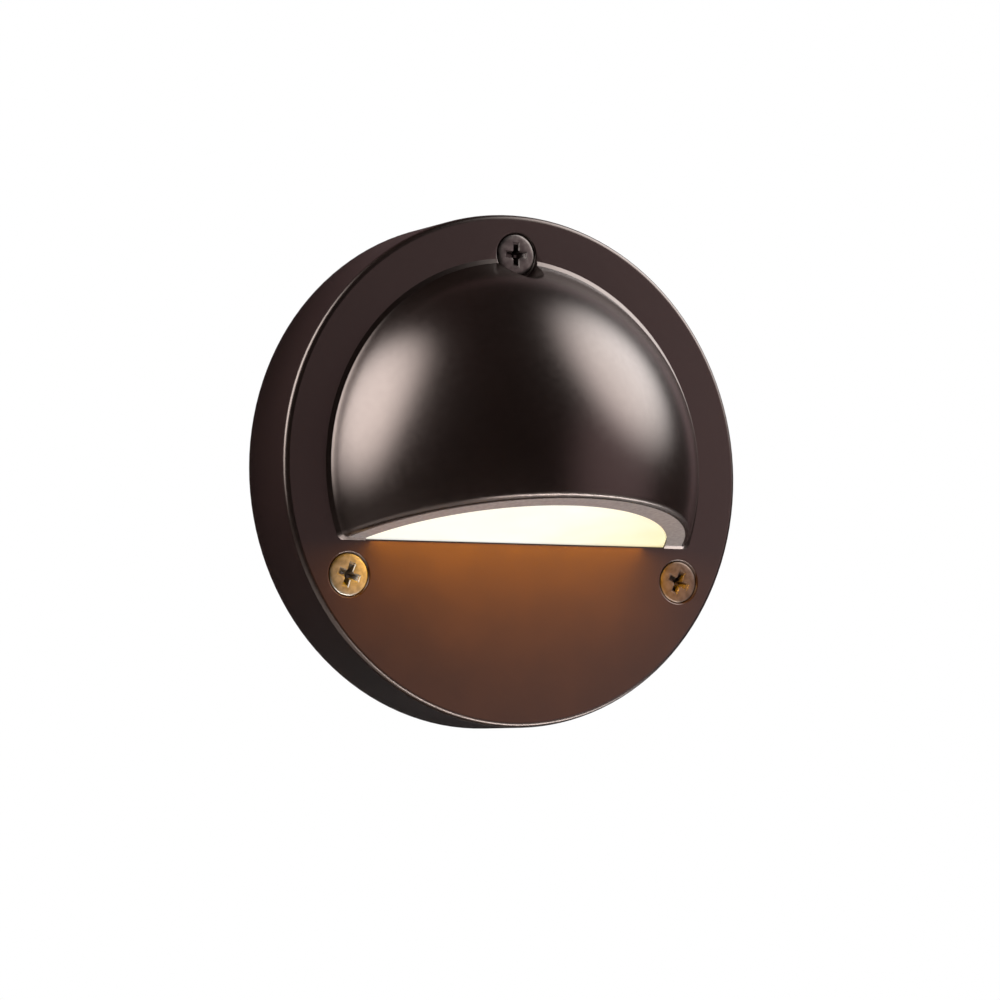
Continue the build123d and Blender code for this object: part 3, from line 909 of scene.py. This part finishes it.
screw_turns = {"top_screw": 0, "left_screw": 20, "right_screw": 26}
# Painted light on one steel: lighter and warmer on the left screw, darker on the right, grey on the top.
painted_light_screw_tones = {
    "top_screw": (0.15, 0.13, 0.12),
    "left_screw": (0.27, 0.25, 0.22),
    "right_screw": (0.145, 0.107, 0.085),
}
for screw_name, turned in screw_turns.items():
    low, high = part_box(screw_name)
    x = (low.x + high.x) / 2
    z = (low.z + high.z) / 2
    screw = place_copy(wood_screw, screw_name.replace("screw", "wood_screw"), x, z, math.radians(turned))
    tone = painted_light_screw_tones[screw_name]
    steel = turned_steel(screw_name + "_steel", x, z, [0.8 * c for c in tone], [1.2 * c for c in tone])
    fit(screw, screw_name, steel, screw_name)
bpy.data.objects.remove(wood_screw)

# %% [markdown]
# ## Small machine screws
#
# The boards, the LED carrier and the back plate are held by small zinc-plated screws: pan heads inside,
# and flush heads in the back plate. They are turned, pressed and threaded as the wood screws are, then
# copied to where CAD has them.

# %% Make machine screws
fine_pitch = 0.45 * mm
fine_depth = 0.17 * mm
neck_end = 0.1 * mm
core_start = 0.35 * mm
ridge_start = 0.5 * mm
ridge_end = 0.6 * mm
tip_length = 0.3 * mm

zinc = mottled(
    "zinc_plating",
    dark=(0.5, 0.51, 0.52),
    light=(0.62, 0.63, 0.63),
    blotch=1 * mm,
    gloss=(0.25, 0.4),
    grain=0.2 * mm,
    depth=0.003 * mm,
    metallic=1.0,
)
print(zinc.name, "mixed for screws with a pitch of", fine_pitch / mm, "mm")


def machine_screw(node_name, head_profile, head_y, inward, shank_radius, end_y, head_radius):
    """Turn one machine screw, press its recess, wind its thread and copy it to its places."""
    core = shank_radius - fine_depth
    shank_y = head_profile[-1][1]
    profile = head_profile + [
        (shank_radius, shank_y + inward * neck_end),
        (core, shank_y + inward * core_start),
        (core, end_y - inward * tip_length),
        (0.7 * core, end_y),
    ]
    screw = turn_solid(node_name + "_master", profile, corners=32)
    start = shank_y + inward * ridge_start
    end = end_y - inward * ridge_end

    def share_at(y):
        """The thread grows in and fades out over its end turns."""
        inside = min(abs(y - start), abs(end - y)) if min(start, end) < y < max(start, end) else 0
        return 0.78 + 0.22 * min(1, inside / fine_pitch)

    wind_thread(screw, core, shank_radius, start, end, fine_pitch, share_at)
    span = 1.15 * head_radius
    width = 0.3 * head_radius
    press_cross(screw, head_y, inward, span, width, 0.42 * head_radius, 0.45 * span, 0.45 * width)
    smooth(screw, 40)
    group = join_copies(screw, node_name + "_detail", spots(node_name))
    fit(group, "light", zinc, node_name)


# %% Make the pan heads
def pan_screw(node_name, inward, head_radius, head_height, shank_radius):
    """Pan-head screws: inward is the way along Y in which they are driven."""
    low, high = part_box(node_name)
    head_y = low.y if inward > 0 else high.y
    end_y = high.y if inward > 0 else low.y
    head_profile = [
        (0.5 * head_radius, head_y),
        (0.78 * head_radius, head_y + inward * 0.08 * head_height),
        (0.94 * head_radius, head_y + inward * 0.3 * head_height),
        (head_radius, head_y + inward * 0.6 * head_height),
        (head_radius, head_y + inward * 0.93 * head_height),
        (0.96 * head_radius, head_y + inward * head_height),
        (shank_radius, head_y + inward * head_height),
    ]
    machine_screw(node_name, head_profile, head_y, inward, shank_radius, end_y, head_radius)


pan_screw("carrier_screws", -1, head_radius=2.2 * mm, head_height=1.4 * mm, shank_radius=1.2 * mm)
pan_screw("led_board_screws", 1, head_radius=1.9 * mm, head_height=1.2 * mm, shank_radius=1.0 * mm)
pan_screw("driver_board_screws", -1, head_radius=1.9 * mm, head_height=1.2 * mm, shank_radius=1.0 * mm)

# %% Make the flush heads
flush_end, flush_y = [corner.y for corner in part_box("back_plate_screws")]
flush_shank = 1.2 * mm
flush_radius = 2.35 * mm
flush_profile = [
    (2.2 * mm, flush_y),
    (2.32 * mm, flush_y - 0.05 * mm),
    (flush_shank, flush_y - 1.17 * mm),
]
machine_screw("back_plate_screws", flush_profile, flush_y, -1, flush_shank, flush_end, flush_radius)

# %% [markdown]
# ## Foam, rubber and seals
#
# A ring of closed-cell foam seals the light to the deck. It is die cut, so its faces are flat, but the
# knife pulls its edges round, and the cells make it pebbly. The grommet is moulded rubber with two
# flanges that grip the back plate. Both are rings drawn from a profile, with their edges rounded, and the
# foam has its three holes punched.

# %% Punch the foam ring
foam = mottled(
    "closed_cell_foam",
    dark=(0.012, 0.012, 0.012),
    light=(0.03, 0.03, 0.031),
    blotch=0.5 * mm,
    gloss=(0.8, 0.95),
    grain=0.35 * mm,
    depth=0.06 * mm,
)
foam_low, foam_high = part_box("mounting_gasket")
foam_outer = foam_high.x
foam_inner = foam_outer - 8.7 * mm
foam_hole = 2.4 * mm
soft_edge = 0.3 * mm

foam_ring = turn_ring("foam_ring", [
    (foam_inner, foam_low.y),
    (foam_outer, foam_low.y),
    (foam_outer, foam_high.y),
    (foam_inner, foam_high.y),
], corners=128)
round_edges(foam_ring, soft_edge)
for screw_name in screw_turns:
    low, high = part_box(screw_name)
    deselect()
    bpy.ops.mesh.primitive_cylinder_add(
        vertices=40,
        radius=foam_hole,
        depth=4 * (foam_high.y - foam_low.y),
        location=((low.x + high.x) / 2, 0, (low.z + high.z) / 2),
        rotation=(math.pi / 2, 0, 0),
    )
    punch = bpy.context.object
    bpy.ops.object.transform_apply(location=True, rotation=True, scale=False)
    combine(foam_ring, punch, "DIFFERENCE")
smooth(foam_ring)
fit(foam_ring, "light", foam, "mounting_gasket")

# %% Mould the grommet
rubber = mottled(
    "moulded_rubber",
    dark=(0.012, 0.012, 0.012),
    light=(0.02, 0.02, 0.02),
    blotch=5 * mm,
    gloss=(0.5, 0.65),
    grain=0.4 * mm,
    depth=0.01 * mm,
)
grommet_low, grommet_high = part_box("cable_grommet")
flange_radius = grommet_high.x
flange_thickness = 1.2 * mm
neck_radius = 3.9 * mm
bore_radius = 2.5 * mm

grommet = turn_ring("rubber_grommet", [
    (bore_radius, grommet_low.y),
    (flange_radius, grommet_low.y),
    (flange_radius, grommet_low.y + flange_thickness),
    (neck_radius, grommet_low.y + flange_thickness),
    (neck_radius, grommet_high.y - flange_thickness),
    (flange_radius, grommet_high.y - flange_thickness),
    (flange_radius, grommet_high.y),
    (bore_radius, grommet_high.y),
])
round_edges(grommet, soft_edge)
smooth(grommet)
fit(grommet, "light", rubber, "cable_grommet")
dress(rubber, "lens_gasket", "back_seal")

# %% [markdown]
# ## Sheet metal
#
# The back plate and the LED carrier are stamped from rolled aluminium. Rolling leaves long fine lines, so
# the noise is squeezed along one axis, which draws it out along the other.

# %% Roll the aluminium
rolled_aluminium = mottled(
    "rolled_aluminium",
    dark=(0.52, 0.53, 0.54),
    light=(0.62, 0.63, 0.64),
    blotch=6 * mm,
    gloss=(0.3, 0.45),
    grain=0.25 * mm,
    depth=0.003 * mm,
    metallic=1.0,
    stretch=(1, 1, 14),
)
dress(rolled_aluminium, "led_carrier", "back_plate")

# %% [markdown]
# ## Boards and what sits on them
#
# The LED board is white, so that it throws stray light forwards again, and the driver board is the usual
# green. Solder mask is thin, so the copper tracks under it show as slightly raised lines of another
# shade: a brick pattern, laid in the plane of the board, gives them. The LEDs are little white frames
# with a yellow phosphor window, and the ceramic capacitors have bright tin ends.


# %% Lay tracks under the solder mask
def solder_mask(name, dark, light, track, cell):
    """Solder mask over copper tracks, in the plane of a board that faces along Y."""
    material, nodes, links, shader = start_material(name)
    where = place_on_piece(nodes, links)
    cloud = noise(nodes, links, where, 3 * mm)
    flat = nodes.new("ShaderNodeMapping")
    flat.inputs["Rotation"].default_value = (math.pi / 2, 0, 0)
    links.new(where, flat.inputs["Vector"])
    tracks = nodes.new("ShaderNodeTexBrick")
    tracks.offset = 0.37
    tracks.inputs["Brick Width"].default_value = 2.6
    tracks.inputs["Row Height"].default_value = 0.3
    tracks.inputs["Scale"].default_value = 1 / cell
    tracks.inputs["Mortar Size"].default_value = 0.05
    tracks.inputs["Mortar Smooth"].default_value = 0.2
    links.new(flat.outputs["Vector"], tracks.inputs["Vector"])
    mask = ramp(nodes, links, cloud, dark, light)
    line = ramp(nodes, links, cloud, track, light)
    links.new(blend_colors(nodes, links, tracks.outputs["Fac"], mask, line), shader.inputs["Base Color"])
    links.new(spread(nodes, links, cloud, 0.32, 0.45), shader.inputs["Roughness"])
    bump(nodes, links, shader, tracks.outputs["Fac"], 0.03 * mm)
    return material


white_mask = solder_mask(
    "white_solder_mask",
    dark=(0.74, 0.74, 0.71),
    light=(0.8, 0.8, 0.78),
    track=(0.62, 0.61, 0.57),
    cell=5 * mm,
)
green_mask = solder_mask(
    "green_solder_mask",
    dark=(0.004, 0.055, 0.016),
    light=(0.006, 0.075, 0.022),
    track=(0.02, 0.14, 0.05),
    cell=3 * mm,
)
dress(white_mask, "led_board")
dress(green_mask, "driver_board")

# %% Model an LED and copy it
led_low, led_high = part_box("leds")
led_places = spots("leds")
led_width = 3.5 * mm
led_length = 2.8 * mm

deselect()
bpy.ops.mesh.primitive_cube_add(
    size=1,
    location=(0, (led_low.y + led_high.y) / 2, 0),
    scale=(led_width, led_high.y - led_low.y, led_length),
)
led = bpy.context.object
bpy.ops.object.transform_apply(location=True, rotation=False, scale=True)
pick_faces(led, lambda face: face.normal.y < -0.9)
bpy.ops.mesh.inset(thickness=0.45 * mm, depth=0)
bpy.ops.mesh.inset(thickness=0.2 * mm, depth=-0.25 * mm)
close_up()
round_edges(led, 0.06 * mm, segments=2)
smooth(led)
leds = join_copies(led, "led_packages", led_places)
print(len(led_places), "LEDs placed")

# %% [markdown]
# Each LED has to be yellow in its window and white on its frame. The place on the piece is wrapped, so
# that it repeats from LED to LED, and measured in half windows from the middle of each one: up to 1 is
# window, and past 1 is frame.

# %% Find the LEDs' windows
half_step = Vector((6 * mm, 1, 4.5 * mm))
frame_wall = 0.5 * mm
half_window = Vector((led_width / 2 - frame_wall, 1, led_length / 2 - frame_wall))

phosphor, nodes, links, shader = start_material("phosphor_in_frame")
first_x, first_z = led_places[0]
where = place_on_piece(nodes, links, center=(first_x, 0, first_z))
repeat = nodes.new("ShaderNodeVectorMath")
repeat.operation = "WRAP"
repeat.inputs[1].default_value = half_step
repeat.inputs[2].default_value = -half_step
links.new(where, repeat.inputs[0])
in_windows = nodes.new("ShaderNodeVectorMath")
in_windows.operation = "MULTIPLY"
in_windows.inputs[1].default_value = (1 / half_window.x, 0, 1 / half_window.z)
links.new(repeat.outputs["Vector"], in_windows.inputs[0])
corner = nodes.new("ShaderNodeVectorMath")
corner.operation = "ABSOLUTE"
links.new(in_windows.outputs["Vector"], corner.inputs[0])
sides = nodes.new("ShaderNodeSeparateXYZ")
links.new(corner.outputs["Vector"], sides.inputs["Vector"])
widest = nodes.new("ShaderNodeMath")
widest.operation = "MAXIMUM"
links.new(sides.outputs["X"], widest.inputs[0])
links.new(sides.outputs["Z"], widest.inputs[1])
frame_share = spread(nodes, links, widest.outputs["Value"], 0.0, 1.0, 0.97, 1.03)
print("windows", [round(2 * half_window[axis] / mm, 1) for axis in (0, 2)], "mm")

# %% Colour the LEDs
grit = noise(nodes, links, where, 0.3 * mm)
yellow = ramp(nodes, links, grit, (0.78, 0.52, 0.05), (0.9, 0.66, 0.1))
white = ramp(nodes, links, grit, (0.78, 0.77, 0.74), (0.84, 0.83, 0.8))
links.new(blend_colors(nodes, links, frame_share, yellow, white), shader.inputs["Base Color"])
links.new(spread(nodes, links, grit, 0.25, 0.4), shader.inputs["Roughness"])
fit(leds, "light", phosphor, "leds")

# %% Tin the capacitors' ends
capacitor_low, capacitor_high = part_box("capacitors")
capacitor_middle = (capacitor_low + capacitor_high) / 2
capacitor_half = (capacitor_high.x - capacitor_low.x) / 2
clay_end = capacitor_half - 0.62 * mm
tin_start = capacitor_half - 0.58 * mm

ceramic, nodes, links, shader = start_material("tinned_ceramic")
where = place_on_piece(nodes, links, center=capacitor_middle)
apart = nodes.new("ShaderNodeSeparateXYZ")
links.new(where, apart.inputs["Vector"])
from_middle = nodes.new("ShaderNodeMath")
from_middle.operation = "ABSOLUTE"
links.new(apart.outputs["X"], from_middle.inputs[0])
tin_share = spread(nodes, links, from_middle.outputs["Value"], 0.0, 1.0, clay_end, tin_start)
grit = noise(nodes, links, where, 0.4 * mm)
clay = ramp(nodes, links, grit, (0.3, 0.16, 0.075), (0.36, 0.2, 0.1))
tin = ramp(nodes, links, grit, (0.5, 0.5, 0.49), (0.62, 0.62, 0.6))
links.new(blend_colors(nodes, links, tin_share, clay, tin), shader.inputs["Base Color"])
links.new(tin_share, shader.inputs["Metallic"])
links.new(spread(nodes, links, grit, 0.3, 0.5), shader.inputs["Roughness"])
dress(ceramic, "capacitors")

# %% Dress the other parts on the boards
epoxy = mottled(
    "epoxy_moulding",
    dark=(0.012, 0.012, 0.013),
    light=(0.02, 0.02, 0.021),
    blotch=1 * mm,
    gloss=(0.45, 0.6),
    grain=0.15 * mm,
    depth=0.01 * mm,
)
ferrite = mottled(
    "ground_ferrite",
    dark=(0.02, 0.02, 0.022),
    light=(0.035, 0.035, 0.037),
    blotch=0.8 * mm,
    gloss=(0.4, 0.6),
    grain=0.2 * mm,
    depth=0.02 * mm,
)
filled_silicone = mottled(
    "filled_silicone",
    dark=(0.22, 0.25, 0.3),
    light=(0.28, 0.32, 0.37),
    blotch=0.7 * mm,
    gloss=(0.6, 0.75),
    grain=0.3 * mm,
    depth=0.02 * mm,
)
dress(epoxy, "rectifier", "driver_chip")
dress(ferrite, "inductor")
dress(filled_silicone, "thermal_pad")

# %% [markdown]
# ## Link wires
#
# Two short silicone wires join the boards. Silicone insulation is soft and a little dusty, so its gloss
# is low and uneven.


# %% Insulate the wires
def insulation(name, dark, light):
    """Soft silicone insulation in one colour."""
    return mottled(
        name, dark, light, blotch=2 * mm, gloss=(0.4, 0.55), grain=0.3 * mm, depth=0.005 * mm
    )


dress(insulation("black_silicone", (0.01, 0.01, 0.01), (0.018, 0.018, 0.018)), "black_link_wire")
dress(insulation("red_silicone", (0.3, 0.008, 0.006), (0.38, 0.014, 0.01)), "red_link_wire")
